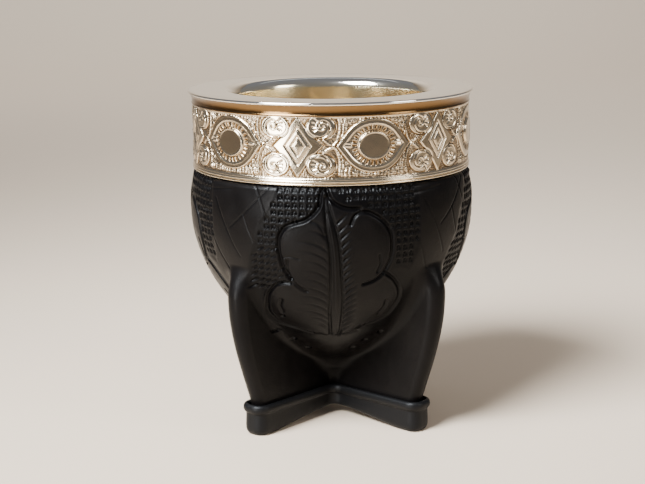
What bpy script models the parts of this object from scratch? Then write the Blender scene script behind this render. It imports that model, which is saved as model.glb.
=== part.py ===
"""Mate cup: a calabash gourd in a black leather cover on four fins, under a chiselled metal collar.

Metres, +Z up. The cup stands on z = 0 with its axis through the origin, and its fins point along
the four diagonals. Azimuths are measured from -Y towards +X, so azimuth 0 is the middle of the
front gap between two fins.
"""

import math

import bmesh
import bpy
import numpy as np
from mathutils import Matrix, Vector

# Driving dimensions
TOTAL_HEIGHT = 0.101
RIM_RADIUS = 0.043
MOUTH_RADIUS = 0.0294
BODY_RADIUS = 0.043
GAP = 0.0003

# Rim plate: flat sheet with a rounded outer edge, rolled down into a sleeve at the mouth
PLATE_SHEET = 0.0009
MOUTH_EDGE_RADIUS = 0.0032
SLEEVE_WALL = 0.0007
SLEEVE_BOTTOM = 0.086
SLEEVE_BOTTOM_RADIUS = 0.0286

# Collar band under the plate: polished cove, chiselled face and a moulding at its foot
COLLAR_RADIUS = 0.0418
COLLAR_SHEET = 0.0008
COLLAR_BOTTOM = 0.0776
COVE_TOP_RADIUS = 0.0426
COVE_BOTTOM = 0.0970
MOULDING_TOP = 0.0806
MOTIF_COUNT = 6
OVAL_AZIMUTH = math.radians(14.2)
OVAL_WIDTH, OVAL_HEIGHT, OVAL_RISE = 0.0094, 0.0072, 0.0006
LOZENGE_WIDTH, LOZENGE_HEIGHT, LOZENGE_RISE = 0.0084, 0.0106, 0.0004
MOTIF_HEIGHT = 0.0888

# Gourd: thick wall, cut open at the top
GOURD_CENTRE = 0.067
GOURD_WALL = 0.004
GOURD_TOP = 0.0976
GOURD_BORE = 0.0308
GOURD_NECK = 0.0378

# Leather cover
LEATHER = 0.0024
COVER_TOP = 0.0965
COVER_TUCK_RADIUS = COLLAR_RADIUS - COLLAR_SHEET - GAP
BODY_SEMI_AXIS = 0.0455

# Four fins of the cover, standing in the sole
FIN_BOTTOM = 0.0073
FIN_FOOT_REACH = 0.0346
FIN_TOP_REACH = 0.0435
FIN_WIDEST = 0.043
FIN_SHOULDER_TOP = 0.053
FIN_SHOULDER_DROP = 0.0086
FIN_LEAN = 1.12
FIN_FOOT_HALF, FIN_TOP_HALF = 0.0028, 0.0035
FIN_BLEND = 0.004

# Sole: one cross-shaped strip round the bottoms of the fins, arched up in the middle
SOLE_REACH = 0.0365
SOLE_HALF = 0.0041
SOLE_CORNER = 0.0033
SOLE_BLEND = 0.0036
SOLE_HEIGHT = 0.0095
SOLE_POCKET_FLOOR = 0.0070
SOLE_LIP_WIDTH = 0.0009
SOLE_TIP_LIP = 0.0009
ARCH_RISE = 0.0028
ARCH_RADIUS = 0.0305

RING_SEGMENTS = 54
GOURD_SEGMENTS = 36
HALF_SECTOR_SEGMENTS = 10


def clear_scene():
    for old in list(bpy.data.objects):
        bpy.data.objects.remove(old, do_unlink=True)


def new_collection(name):
    collection = bpy.data.collections.new(name)
    bpy.context.scene.collection.children.link(collection)
    return collection


def finish_material(name, colour, roughness, metallic):
    material = bpy.data.materials.new(name)
    material.use_nodes = True
    shader = material.node_tree.nodes["Principled BSDF"]
    shader.inputs["Base Color"].default_value = (*colour, 1.0)
    shader.inputs["Roughness"].default_value = roughness
    shader.inputs["Metallic"].default_value = metallic
    material.diffuse_color = (*colour, 1.0)
    return material


def place_mesh(name, mesh, collection, material):
    piece = bpy.data.objects.new(name, mesh)
    collection.objects.link(piece)
    if material:
        mesh.materials.append(material)
    mesh.shade_smooth()
    mesh.set_sharp_from_angle(angle=math.radians(35))
    return piece


def arc(radius, height, size, start, end, steps):
    """Points of a round edge about (radius, height), from the start angle to the end in degrees."""
    angles = np.radians(np.linspace(start, end, steps + 1))
    return [(radius + size * math.cos(a), height + size * math.sin(a)) for a in angles]


def smooth_curve(points, steps):
    """A curve through the points: Catmull-Rom spans, each cut into the same number of steps."""
    pts = [Vector(p) for p in points]
    pts = [2 * pts[0] - pts[1]] + pts + [2 * pts[-1] - pts[-2]]
    curve = []
    for before, a, b, after in zip(pts, pts[1:], pts[2:], pts[3:]):
        for step in range(steps):
            t = step / steps
            point = (2 * a + (b - before) * t + (2 * before - 5 * a + 4 * b - after) * t ** 2
                     + (3 * a - before - 3 * b + after) * t ** 3) / 2
            curve.append(tuple(point))
    return curve + [tuple(points[-1])]


def turned(name, outline, collection, material, segments, closed):
    """A lathe-turned piece: the outline runs down the outer side and back up the inner one."""
    mesh = bpy.data.meshes.new(name)
    shape = bmesh.new()
    verts = [shape.verts.new((radius, 0, height)) for radius, height in outline]
    for a, b in zip(verts, verts[1:] + (verts[:1] if closed else [])):
        if a is not b:
            shape.edges.new((a, b))
    shape.to_mesh(mesh)
    shape.free()
    piece = place_mesh(name, mesh, collection, material)
    screw = piece.modifiers.new("turn", "SCREW")
    screw.axis = "Z"
    screw.steps = segments
    screw.render_steps = segments
    screw.use_merge_vertices = True
    screw.merge_threshold = 0.00001
    screw.use_smooth_shade = True
    return piece


def soft_union(a, b, blend):
    """Signed distance to two shapes run together with a fillet of about the blend's size."""
    return np.minimum(a, b) - np.maximum(blend - np.abs(a - b), 0.0) ** 2 / (4 * blend)


def arm_distance(across, along, half, reach, corner):
    """Signed distance to one arm: a bar from the axis out to its reach, with rounded corners."""
    side = np.abs(across) - (half - corner)
    end = along - (reach - corner)
    return (np.hypot(np.maximum(side, 0.0), np.maximum(end, 0.0))
            + np.minimum(np.maximum(side, end), 0.0) - corner)


def cross_distance(radius, turn, half, reach, corner, blend):
    """Signed distance to the cross of arms, at a turn of 0 to 45 degrees from the nearest arm."""
    x, y = radius * np.cos(turn), radius * np.sin(turn)
    return soft_union(arm_distance(y, x, half, reach, corner),
                      arm_distance(x, y, half, reach, corner), blend)


def radius_where_zero(distance, turn):
    """The radius at which the distance passes zero along each direction, found by halving."""
    low, high = np.zeros_like(turn), np.full_like(turn, 2 * BODY_RADIUS)
    for _ in range(40):
        middle = (low + high) / 2
        inside = distance(middle, turn) < 0
        low, high = np.where(inside, middle, low), np.where(inside, high, middle)
    return (low + high) / 2


def section_outline(distance):
    """One closed outline about the axis, with its points close together where it turns fast."""
    turning_weight = 0.005
    fine = math.pi / 4 * np.linspace(0, 1, 400) ** 1.5
    radius = radius_where_zero(distance, fine)
    x, y = radius * np.cos(fine), radius * np.sin(fine)
    steps = np.hypot(np.diff(x), np.diff(y))
    heading = np.unwrap(np.arctan2(np.diff(y), np.diff(x)))
    bends = np.abs(np.diff(heading, prepend=heading[0]))
    travelled = np.concatenate([[0], np.cumsum(steps + turning_weight * bends)])
    marks = np.linspace(0, travelled[-1], HALF_SECTOR_SEGMENTS + 1)
    turns = np.interp(marks, travelled, fine)
    radii = radius_where_zero(distance, turns)
    outline = []
    for arm in range(4):
        arm_azimuth = math.pi / 4 + arm * math.pi / 2
        before = [(-t, r) for t, r in zip(turns[:0:-1], radii[:0:-1])]
        after = list(zip(turns[:-1], radii[:-1]))
        for turn, size in before + after:
            azimuth = arm_azimuth + turn
            outline.append((size * math.sin(azimuth), -size * math.cos(azimuth)))
    return outline


def lofted(name, levels, collection, material):
    """A closed skin through level outlines, listed from the bottom up, with flat ends."""
    mesh = bpy.data.meshes.new(name)
    shape = bmesh.new()
    rings = [[shape.verts.new((x, y, height)) for x, y in outline] for height, outline in levels]
    for lower, upper in zip(rings, rings[1:]):
        for i in range(len(lower)):
            j = (i + 1) % len(lower)
            shape.faces.new((lower[i], lower[j], upper[j], upper[i]))
    shape.faces.new(rings[0][::-1])
    shape.faces.new(rings[-1])
    shape.to_mesh(mesh)
    shape.free()
    return place_mesh(name, mesh, collection, material)


def cut_away(piece, cutter):
    cut = piece.modifiers.new("cut by " + cutter.name, "BOOLEAN")
    cut.operation = "DIFFERENCE"
    cut.object = cutter
    cutter.hide_render = True
    cutter.display_type = "WIRE"


# Rim plate

def rim_plate(parts, metal):
    top = TOTAL_HEIGHT
    under = top - PLATE_SHEET
    edge = PLATE_SHEET / 2
    turn_down = MOUTH_EDGE_RADIUS - SLEEVE_WALL
    outline = arc(MOUTH_RADIUS + MOUTH_EDGE_RADIUS, top - MOUTH_EDGE_RADIUS, MOUTH_EDGE_RADIUS,
                  180, 90, 4)
    outline += arc(RIM_RADIUS - edge, top - edge, edge, 90, -90, 4)
    outline += arc(MOUTH_RADIUS + MOUTH_EDGE_RADIUS, under - turn_down, turn_down, 90, 180, 2)
    outline += [(SLEEVE_BOTTOM_RADIUS + SLEEVE_WALL, SLEEVE_BOTTOM),
                (SLEEVE_BOTTOM_RADIUS, SLEEVE_BOTTOM)]
    return turned("rim_plate", outline, parts, metal, RING_SEGMENTS, closed=True)


# Collar band, with its polished ovals and four-sided bosses raised from the sheet

def wrapped(shape, name, azimuth, collection):
    """Lays a flat motif round the band: local X runs along the face, Y points out and Z up."""
    for vert in shape.verts:
        along, out, up = vert.co
        turn = azimuth + along / COLLAR_RADIUS
        radius = COLLAR_RADIUS + out
        vert.co = (radius * math.sin(turn), -radius * math.cos(turn), MOTIF_HEIGHT + up)
    bmesh.ops.recalc_face_normals(shape, faces=shape.faces)
    mesh = bpy.data.meshes.new(name)
    shape.to_mesh(mesh)
    shape.free()
    place_mesh(name, mesh, collection, None)


def raised_motifs(collection):
    step = 2 * math.pi / MOTIF_COUNT
    root = COLLAR_SHEET / 2
    for number in range(MOTIF_COUNT):
        azimuth = OVAL_AZIMUTH + number * step
        oval = bmesh.new()
        bmesh.ops.create_uvsphere(oval, u_segments=16, v_segments=8, radius=0.5)
        bmesh.ops.scale(oval, vec=(OVAL_WIDTH, 2 * OVAL_RISE, OVAL_HEIGHT), verts=oval.verts)
        wrapped(oval, f"oval_{number}", azimuth, collection)

        lozenge = bmesh.new()
        depth = LOZENGE_RISE + root
        bmesh.ops.create_cone(lozenge, segments=4, radius1=0.5, radius2=0.36, depth=depth,
                              cap_ends=True)
        stand = Matrix.Translation((0, depth / 2 - root, 0)) @ Matrix.Rotation(-math.pi / 2, 4, "X")
        lozenge.transform(stand)
        bmesh.ops.scale(lozenge, vec=(LOZENGE_WIDTH, 1, LOZENGE_HEIGHT), verts=lozenge.verts)
        wrapped(lozenge, f"lozenge_{number}", azimuth + step / 2, collection)


def collar_band(parts, metal):
    face = COLLAR_RADIUS
    inside = COLLAR_RADIUS - COLLAR_SHEET
    top = TOTAL_HEIGHT - PLATE_SHEET - GAP
    bead = 0.0003
    hollow = (face + COVE_TOP_RADIUS) / 2 - bead / 2
    outline = [(inside, top)]
    outline += smooth_curve([(COVE_TOP_RADIUS, top), (hollow, (top + COVE_BOTTOM) / 2),
                             (face, COVE_BOTTOM)], 3)
    outline += [(face, MOULDING_TOP + bead)]
    outline += [(face - bead, MOULDING_TOP), (face, MOULDING_TOP - bead)]
    outline += arc(face, COLLAR_BOTTOM + bead, bead, 60, -90, 3)
    outline += [(inside, COLLAR_BOTTOM)]
    band = turned("collar_band", outline, parts, metal, RING_SEGMENTS, closed=True)
    motifs = new_collection("collar motifs")
    raised_motifs(motifs)
    union = band.modifiers.new("motifs", "BOOLEAN")
    union.operation = "UNION"
    union.operand_type = "COLLECTION"
    union.collection = motifs
    bpy.context.view_layer.update()
    evaluated = band.evaluated_get(bpy.context.evaluated_depsgraph_get())
    joined = bpy.data.meshes.new_from_object(evaluated)
    band.modifiers.clear()
    band.data = joined
    for motif in list(motifs.objects):
        bpy.data.objects.remove(motif, do_unlink=True)
    return band


# Gourd and the room that it takes up inside the cover

def gourd_outside(clearance):
    """Outer side of the gourd from its neck down to the pole, widened by the clearance."""
    side = BODY_RADIUS - LEATHER - GAP
    shoulder = [(GOURD_NECK, 0.084), (0.0384, 0.079), (0.0394, 0.0745), (0.0401, 0.0705),
                (side, GOURD_CENTRE)]
    drop = BODY_SEMI_AXIS - LEATHER - GAP
    turns = np.radians(np.linspace(0, 90, 10))[1:]
    bowl = [((side + clearance) * math.cos(t), GOURD_CENTRE - (drop + clearance) * math.sin(t))
            for t in turns[:-1]]
    bowl.append((0.0, GOURD_CENTRE - drop - clearance))
    return [(radius + clearance, height) for radius, height in shoulder] + bowl


def gourd_shell(parts, shell):
    lip = 0.002
    side = BODY_RADIUS - LEATHER - GAP - GOURD_WALL
    drop = BODY_SEMI_AXIS - LEATHER - GAP - GOURD_WALL
    turns = np.radians(np.linspace(90, 0, 9))[1:]
    inner = [(0.0, GOURD_CENTRE - drop)]
    inner += [(side * math.cos(t), GOURD_CENTRE - drop * math.sin(t)) for t in turns]
    inner += [(0.0359, 0.0715), (0.0346, 0.0760), (0.0328, 0.0805), (0.0313, 0.0840),
              (GOURD_BORE, 0.0875)]
    inner += arc(GOURD_BORE + lip, GOURD_TOP - lip, lip, 180, 90, 2)
    inner += arc(GOURD_NECK - lip, GOURD_TOP - lip, lip, 90, 0, 2)
    return turned("gourd_shell", inner + gourd_outside(0.0), parts, shell, GOURD_SEGMENTS,
                  closed=False)


# Leather cover with its four fins, one piece

COVER_PROFILE = [(0.0421, 0.0762), (0.0427, 0.0725), (0.0430, 0.0670), (0.0424, 0.0590),
                 (0.0402, 0.0513), (0.0366, 0.0436), (0.0312, 0.0358), (0.0250, 0.0292),
                 (0.0180, 0.0238), (0.0110, 0.0193), (0.0062, 0.0145), (0.0040, 0.0100),
                 (0.0034, FIN_BOTTOM)]


def fin_reach(height):
    """How far a fin stands out from the axis: it leans out to its widest, then rounds over."""
    if height <= FIN_WIDEST:
        rise = (height - FIN_BOTTOM) / (FIN_WIDEST - FIN_BOTTOM)
        swing = math.sin(math.pi / 2 * rise ** FIN_LEAN)
        return FIN_FOOT_REACH + (FIN_TOP_REACH - FIN_FOOT_REACH) * swing
    rise = min((height - FIN_WIDEST) / (FIN_SHOULDER_TOP - FIN_WIDEST), 1.0)
    return FIN_TOP_REACH - FIN_SHOULDER_DROP * (1 - math.sqrt(1 - rise ** 2))


def cover_section(height):
    curve = smooth_curve(COVER_PROFILE, 8)
    heights = [h for _, h in curve][::-1]
    round_radius = float(np.interp(height, heights, [r for r, _ in curve][::-1]))
    if height > FIN_SHOULDER_TOP:
        return section_outline(lambda radius, turn: radius - round_radius)
    rise = min((height - FIN_BOTTOM) / (FIN_WIDEST - FIN_BOTTOM), 1.0)
    half = FIN_FOOT_HALF + (FIN_TOP_HALF - FIN_FOOT_HALF) * rise
    reach = fin_reach(height)
    blend = min(FIN_BLEND, 0.6 * round_radius)

    def distance(radius, turn):
        fins = cross_distance(radius, turn, half, reach, half, blend)
        return soft_union(radius - round_radius, fins, blend)

    return section_outline(distance)


def leather_body(parts, cutters, leather):
    spans = [(FIN_BOTTOM, 0.0285, 10), (0.0285, 0.040, 4), (0.040, 0.0545, 8),
             (0.0545, 0.0762, 6)]
    heights = [FIN_BOTTOM]
    for low, high, steps in spans:
        heights += list(np.linspace(low, high, steps + 1))[1:]
    levels = [(height, cover_section(height)) for height in heights]
    tuck = [(0.0416, 0.0769), (0.0410, 0.07725), (COVER_TUCK_RADIUS, 0.0775),
            (COVER_TUCK_RADIUS, COVER_TOP)]
    for size, height in tuck:
        levels.append((height, section_outline(lambda radius, turn: radius - size)))
    cover = lofted("leather_body", levels, parts, leather)
    above = COVER_TOP + 0.002
    room = [(0.0, above), (GOURD_NECK + GAP, above)] + gourd_outside(GAP)
    cavity = turned("gourd_room", room, cutters, None, GOURD_SEGMENTS, closed=False)
    cut_away(cover, cavity)
    return cover


# Sole

def sole_section(offset):
    def distance(radius, turn):
        return cross_distance(radius, turn, SOLE_HALF, SOLE_REACH, SOLE_CORNER,
                              SOLE_BLEND) - offset

    return section_outline(distance)


def pocket_section():
    half = SOLE_HALF - SOLE_LIP_WIDTH
    reach = SOLE_REACH - SOLE_TIP_LIP

    def distance(radius, turn):
        return cross_distance(radius, turn, half, reach, SOLE_CORNER, SOLE_BLEND)

    return section_outline(distance)


def sole_strip(parts, cutters, leather):
    lip = 0.0006
    side = [(0.0, -0.0018), (0.0006, -0.0006), (0.0018, 0.0), (0.0066, 0.0), (0.0074, lip),
            (0.0087, lip), (0.0093, 0.0002), (SOLE_HEIGHT, -0.0003)]
    sole = lofted("sole_strip", [(h, sole_section(offset)) for h, offset in side], parts, leather)
    pocket = pocket_section()
    pocket_levels = [(SOLE_POCKET_FLOOR, pocket), (SOLE_HEIGHT + 0.001, pocket)]
    cut_away(sole, lofted("fin_pocket", pocket_levels, cutters, None))
    below = -0.001
    dome = smooth_curve([(0.0, ARCH_RISE), (0.3 * ARCH_RADIUS, 0.88 * ARCH_RISE),
                         (0.65 * ARCH_RADIUS, 0.42 * ARCH_RISE), (ARCH_RADIUS, 0.0)], 2)
    dome += [(1.3 * ARCH_RADIUS, below), (1.3 * ARCH_RADIUS, 2 * below), (0.0, 2 * below)]
    cut_away(sole, turned("arch_room", dome, cutters, None, GOURD_SEGMENTS, closed=False))
    return sole


clear_scene()
mate_cup = new_collection("mate_cup")
cutter_shapes = new_collection("cutters")
silver = finish_material("collar silver", (0.74, 0.69, 0.60), 0.22, 1.0)
black_leather = finish_material("black leather", (0.018, 0.017, 0.018), 0.42, 0.0)
sole_leather = finish_material("sole leather", (0.014, 0.014, 0.015), 0.50, 0.0)
calabash = finish_material("calabash", (0.36, 0.22, 0.10), 0.70, 0.0)

rim_plate(mate_cup, silver)
collar_band(mate_cup, silver)
gourd_shell(mate_cup, calabash)
leather_body(mate_cup, cutter_shapes, black_leather)
sole_strip(mate_cup, cutter_shapes, sole_leather)
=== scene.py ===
import math

import bpy
import numpy as np
from mathutils import Matrix, Vector


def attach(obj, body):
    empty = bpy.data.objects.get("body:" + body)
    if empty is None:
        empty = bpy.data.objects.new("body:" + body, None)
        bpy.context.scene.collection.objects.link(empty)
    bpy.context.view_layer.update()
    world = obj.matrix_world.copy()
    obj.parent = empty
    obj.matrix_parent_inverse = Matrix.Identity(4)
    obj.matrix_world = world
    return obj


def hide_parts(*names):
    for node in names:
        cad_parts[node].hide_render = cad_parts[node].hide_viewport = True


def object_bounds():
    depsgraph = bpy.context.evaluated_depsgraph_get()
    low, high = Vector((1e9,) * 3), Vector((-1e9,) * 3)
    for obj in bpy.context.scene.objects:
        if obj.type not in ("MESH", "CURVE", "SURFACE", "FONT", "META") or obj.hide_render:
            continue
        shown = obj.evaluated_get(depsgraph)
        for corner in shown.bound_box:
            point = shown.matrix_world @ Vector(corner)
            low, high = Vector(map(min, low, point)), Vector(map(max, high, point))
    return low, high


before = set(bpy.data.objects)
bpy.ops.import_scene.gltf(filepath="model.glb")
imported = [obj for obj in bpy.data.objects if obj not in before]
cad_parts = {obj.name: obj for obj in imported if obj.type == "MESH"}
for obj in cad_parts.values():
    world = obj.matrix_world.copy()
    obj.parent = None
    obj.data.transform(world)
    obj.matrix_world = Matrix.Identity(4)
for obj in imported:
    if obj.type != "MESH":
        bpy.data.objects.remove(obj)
cad_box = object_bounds()
MM = 0.001


# Gourd
# A dried calabash, cut open at its neck and scraped out. About 4 mm of woody wall is left, and it
# stands in the leather with its neck pressed up round the metal sleeve.

GOURD_CENTRE, GOURD_SIDE, GOURD_DROP = 67.0 * MM, 40.2 * MM, 42.7 * MM
GOURD_WALL, GOURD_BORE, GOURD_TOP = 4.0 * MM, 30.8 * MM, 97.6 * MM
GOURD_FLESH, GOURD_FIBRE = (0.42, 0.25, 0.11), (0.24, 0.13, 0.055)
GOURD_COLUMNS = 180


def smooth_curve(points, steps):
    """Points of a Catmull-Rom curve through the given ones, each span cut into the same steps."""
    pts = np.array(points, float)
    pts = np.vstack([2 * pts[0] - pts[1], pts, 2 * pts[-1] - pts[-2]])
    t = (np.arange(steps) / steps)[:, None]
    spans = []
    for before, a, b, after in zip(pts, pts[1:], pts[2:], pts[3:]):
        spans.append((2 * a + (b - before) * t + (2 * before - 5 * a + 4 * b - after) * t ** 2
                      + (3 * a - before - 3 * b + after) * t ** 3) / 2)
    spans.append(pts[-2:-1])
    return np.vstack(spans)


def turned_rings(profile, columns):
    """Rings of points for a turned profile of (radius, height), columns counted round the axis."""
    azimuth = np.arange(columns) * 2 * math.pi / columns
    radius, height = np.array(profile, float).T[:, :, None]
    return np.stack([radius * np.sin(azimuth), -radius * np.cos(azimuth),
                     height + 0 * azimuth], axis=-1)


def skin_rings(name, rings, closed_loop=False, sharp=35):
    """A mesh piece over rings that run up its outer side and then down its inner one."""
    rows, columns = rings.shape[:2]
    numbers = np.arange(rows * columns).reshape(rows, columns)
    points = rings.reshape(-1, 3)
    caps = []
    if closed_loop:
        numbers = np.vstack([numbers, numbers[:1]])
    else:
        points = np.vstack([points, rings[0].mean(0), rings[-1].mean(0)])
        first, last = numbers[0], numbers[-1]
        start, end = np.full(columns, rows * columns), np.full(columns, rows * columns + 1)
        caps = (np.stack([np.roll(first, -1), first, start], -1).tolist()
                + np.stack([last, np.roll(last, -1), end], -1).tolist())
    lower, upper = numbers[:-1], numbers[1:]
    quads = np.stack([lower, np.roll(lower, -1, 1), np.roll(upper, -1, 1), upper], -1)
    mesh = bpy.data.meshes.new(name)
    mesh.from_pydata(points.tolist(), [], quads.reshape(-1, 4).tolist() + caps)
    mesh.shade_smooth()
    mesh.set_sharp_from_angle(angle=math.radians(sharp))
    piece = bpy.data.objects.new(name, mesh)
    bpy.context.scene.collection.objects.link(piece)
    return piece


def record_on(piece, name, values):
    """Stores one number for each point of a piece, which its material can read by that name."""
    short = len(piece.data.vertices) - values.size
    padded = np.concatenate([values.ravel(), np.zeros(short)]).astype(np.float32)
    piece.data.attributes.new(name, "FLOAT", "POINT").data.foreach_set("value", padded)


def add_node(tree, kind, inputs=None, **settings):
    """A shader node with its settings, and with its inputs set to values or linked to sockets."""
    made = tree.nodes.new(kind)
    for setting, value in settings.items():
        setattr(made, setting, value)
    for socket, value in (inputs or {}).items():
        if isinstance(value, bpy.types.NodeSocket):
            tree.links.new(value, made.inputs[socket])
        else:
            made.inputs[socket].default_value = value
    return made


def new_finish(name, metallic, roughness):
    """An empty Principled finish and its node tree."""
    finish = bpy.data.materials.new(name)
    finish.use_nodes = True
    shader = finish.node_tree.nodes["Principled BSDF"]
    shader.inputs["Metallic"].default_value = metallic
    shader.inputs["Roughness"].default_value = roughness
    return finish, finish.node_tree, shader


def noise_on(tree, scale, detail, stretch=(1, 1, 1)):
    """Noise over the piece's own coordinates, stretched along X, Y or Z."""
    place = add_node(tree, "ShaderNodeTexCoord")
    stretched = add_node(tree, "ShaderNodeMapping",
                         {"Vector": place.outputs["Object"], "Scale": stretch})
    return add_node(tree, "ShaderNodeTexNoise",
                    {"Vector": stretched.outputs["Vector"], "Scale": scale,
                     "Detail": detail}).outputs["Fac"]


def ramp_on(tree, value, stops):
    """A colour ramp from (place, colour) stops."""
    ramp = add_node(tree, "ShaderNodeValToRGB", {"Fac": value})
    elements = ramp.color_ramp.elements
    while len(elements) < len(stops):
        elements.new(0.5)
    for element, (place, colour) in zip(elements, stops):
        element.position = place
        element.color = (*colour, 1)
    return ramp.outputs["Color"]


def range_on(tree, value, low, high, from_low=0.0, from_high=1.0):
    """A value stretched to run from low to high."""
    return add_node(tree, "ShaderNodeMapRange",
                    {"Value": value, "From Min": from_low, "From Max": from_high,
                     "To Min": low, "To Max": high}).outputs["Result"]


def bump_on(tree, height, distance, strength, under=None):
    """A bump of the given depth in metres, on top of another bump if there is one."""
    inputs = {"Height": height, "Distance": distance, "Strength": strength}
    if under:
        inputs["Normal"] = under
    return add_node(tree, "ShaderNodeBump", inputs).outputs["Normal"]


def place_piece(piece, finish, node):
    """Gives a piece its finish and puts it in the place of its CAD node."""
    piece.data.materials.append(finish)
    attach(piece, "root")
    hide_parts(node)


def calabash_finish():
    finish, tree, shader = new_finish("calabash", 0.0, 0.72)
    fibres = noise_on(tree, 900, 5, (1, 1, 0.16))
    blotches = noise_on(tree, 90, 3)
    mixed = add_node(tree, "ShaderNodeMath", {0: fibres, 1: blotches}, operation="ADD")
    shade = range_on(tree, mixed.outputs["Value"], 0, 1, 0.75, 1.25)
    tree.links.new(ramp_on(tree, shade, [(0.0, GOURD_FIBRE), (1.0, GOURD_FLESH)]),
                   shader.inputs["Base Color"])
    tree.links.new(bump_on(tree, fibres, 0.5 * MM, 0.7), shader.inputs["Normal"])
    return finish


turns = np.radians(np.linspace(2, 90, 28))
outer = np.stack([GOURD_SIDE * np.sin(turns), GOURD_CENTRE - GOURD_DROP * np.cos(turns)], -1)
shoulder = smooth_curve([(40.2 * MM, 67 * MM), (39.3 * MM, 74.5 * MM), (37.9 * MM, 84 * MM),
                         (37.7 * MM, 95.6 * MM)], 6)[1:]
lip = [(37.1 * MM, 97.2 * MM), (35.8 * MM, GOURD_TOP), (32.8 * MM, GOURD_TOP),
       (31.3 * MM, 97.1 * MM)]
throat = smooth_curve([(GOURD_BORE, 95.6 * MM), (GOURD_BORE, 87.5 * MM), (32.8 * MM, 80.5 * MM),
                       (35.9 * MM, 71.5 * MM), (36.2 * MM, 67 * MM)], 6)[:-1]
inside = np.stack([(GOURD_SIDE - GOURD_WALL) * np.sin(turns[::-1]),
                   GOURD_CENTRE - (GOURD_DROP - GOURD_WALL) * np.cos(turns[::-1])], -1)
gourd_profile = np.vstack([outer, shoulder, lip, throat, inside])
gourd = skin_rings("gourd", turned_rings(gourd_profile, GOURD_COLUMNS))
place_piece(gourd, calabash_finish(), "gourd_shell")


# Leather cover
# Black hide wetted, stretched over the gourd and pinched into four fins, then tooled while damp:
# a lobed leaf cut with a swivel knife on each panel, veins pressed in with a stylus, and small
# arched stamps struck in rows on the ground around it.

COVER_PROFILE = np.array([(42.1, 76.2), (42.7, 72.5), (43.0, 67.0), (42.4, 59.0), (40.2, 51.3),
                          (36.6, 43.6), (31.2, 35.8), (25.0, 29.2), (18.0, 23.8), (11.0, 19.3),
                          (6.2, 14.5), (4.0, 10.0), (3.4, 7.3)]) * MM
COVER_TUCK = np.array([(41.6, 76.9), (41.0, 77.25), (40.7, 77.5)]) * MM
COVER_LINING = [(40.5, 80.0), (40.5, 96.5), (38.2, 96.5), (38.2, 84.0), (39.7, 74.5), (40.5, 67.0)]
FIN_BOTTOM, FIN_WIDEST, FIN_SHOULDER_TOP = 7.3 * MM, 43.0 * MM, 53.0 * MM
FIN_FOOT_REACH, FIN_TOP_REACH, FIN_SHOULDER_DROP = 34.6 * MM, 43.5 * MM, 8.6 * MM
FIN_FOOT_HALF, FIN_TOP_HALF, FIN_LEAN, FIN_BLEND = 2.8 * MM, 3.5 * MM, 1.12, 4.0 * MM
COVER_STEPS, COVER_ROW = 138, 0.25 * MM
COVER_BLACK, COVER_WORN = (0.0012, 0.0010, 0.0011), (0.0040, 0.0033, 0.0031)
STAMP_PITCH, STAMP_DEPTH, STAMP_REACH = 2.15, 0.42, 1.6
FADE_START, FADE_LENGTH = 1.6, 2.2
FAR_AWAY = 1e3

# The leaf's lines in mm: across from the panel's middle, and down the hide from the band
LEAF_LEFT = [(-3.9, -0.5), (-5.1, 1.2), (-5.4, 4.2), (-7.0, 6.9), (-9.8, 9.1), (-13.0, 10.1),
             (-15.5, 11.2), (-17.3, 13.7), (-17.7, 17.0), (-17.2, 19.6), (-16.6, 22.2),
             (-15.3, 25.4), (-13.8, 27.4)]
LEAF_LEFT_CURL = [(-13.8, 27.4), (-12.0, 29.4), (-9.7, 31.2), (-8.9, 31.4)]
LEAF_LOWER_LEFT = [(-14.0, 28.8), (-16.4, 28.9), (-18.8, 29.9), (-21.1, 33.5), (-21.7, 37.7),
                   (-20.8, 41.9), (-18.4, 45.4), (-15.0, 47.4), (-11.5, 48.4), (-7.4, 50.4)]
LEAF_RIGHT = [(-3.4, -0.5), (-3.0, 1.5), (-1.8, 3.6), (0.3, 5.0), (3.0, 5.8), (6.1, 5.9)]
LEAF_UPPER_RIGHT = [(3.3, 10.4), (4.1, 8.4), (5.6, 7.0), (8.2, 6.9), (11.7, 8.8), (14.5, 11.7),
                    (15.6, 15.3), (15.3, 20.8), (13.3, 25.2), (10.4, 27.9), (7.0, 29.2)]
LEAF_LOWER_RIGHT = [(13.4, 25.6), (16.4, 28.2), (18.7, 32.4), (18.6, 36.7), (16.1, 41.6),
                    (12.9, 44.4), (8.6, 46.4)]
STEM_LEFT = [(-3.9, 2.5), (-3.9, 5.7), (-3.4, 12.2), (-2.6, 17.1), (-2.3, 26.8), (-2.4, 39.1),
             (-1.9, 51.0)]
STEM_RIGHT = [(-3.2, 2.5), (-2.6, 6.0), (-0.7, 12.5), (0.2, 18.2), (0.8, 26.9), (1.3, 34.7),
              (1.2, 44.3), (0.6, 52.0)]
HIDE_CREASES = [[(-40.3, 4.8), (-37.5, 10.2), (-33.5, 17.2), (-30.5, 21.5)],
                [(-46.5, 8.0), (-43.4, 14.5), (-39.0, 21.5), (-35.6, 26.0)],
                [(-24.6, -0.5), (-22.9, 4.4), (-20.4, 11.5)],
                [(-17.4, -0.5), (-16.0, 3.6)],
                [(-20.4, 0.4), (-24.0, 3.9), (-28.9, 8.4), (-34.1, 12.7)],
                [(-28.9, 8.4), (-27.4, 12.4), (-25.6, 16.2)],
                [(-48.4, 2.8), (-41.0, 2.4), (-33.1, 1.6)]]
STAMPED_LEFT = [(-16.7, -1.5), (-19.7, 5.6), (-23.4, 10.6), (-25.0, 16.3), (-26.9, 21.0),
                (-27.6, 30.0), (-23.5, 33.4), (-15.0, 28.6), (-17.0, 20.0), (-16.6, 13.0),
                (-5.8, 6.2), (-4.5, -1.5)]
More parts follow.
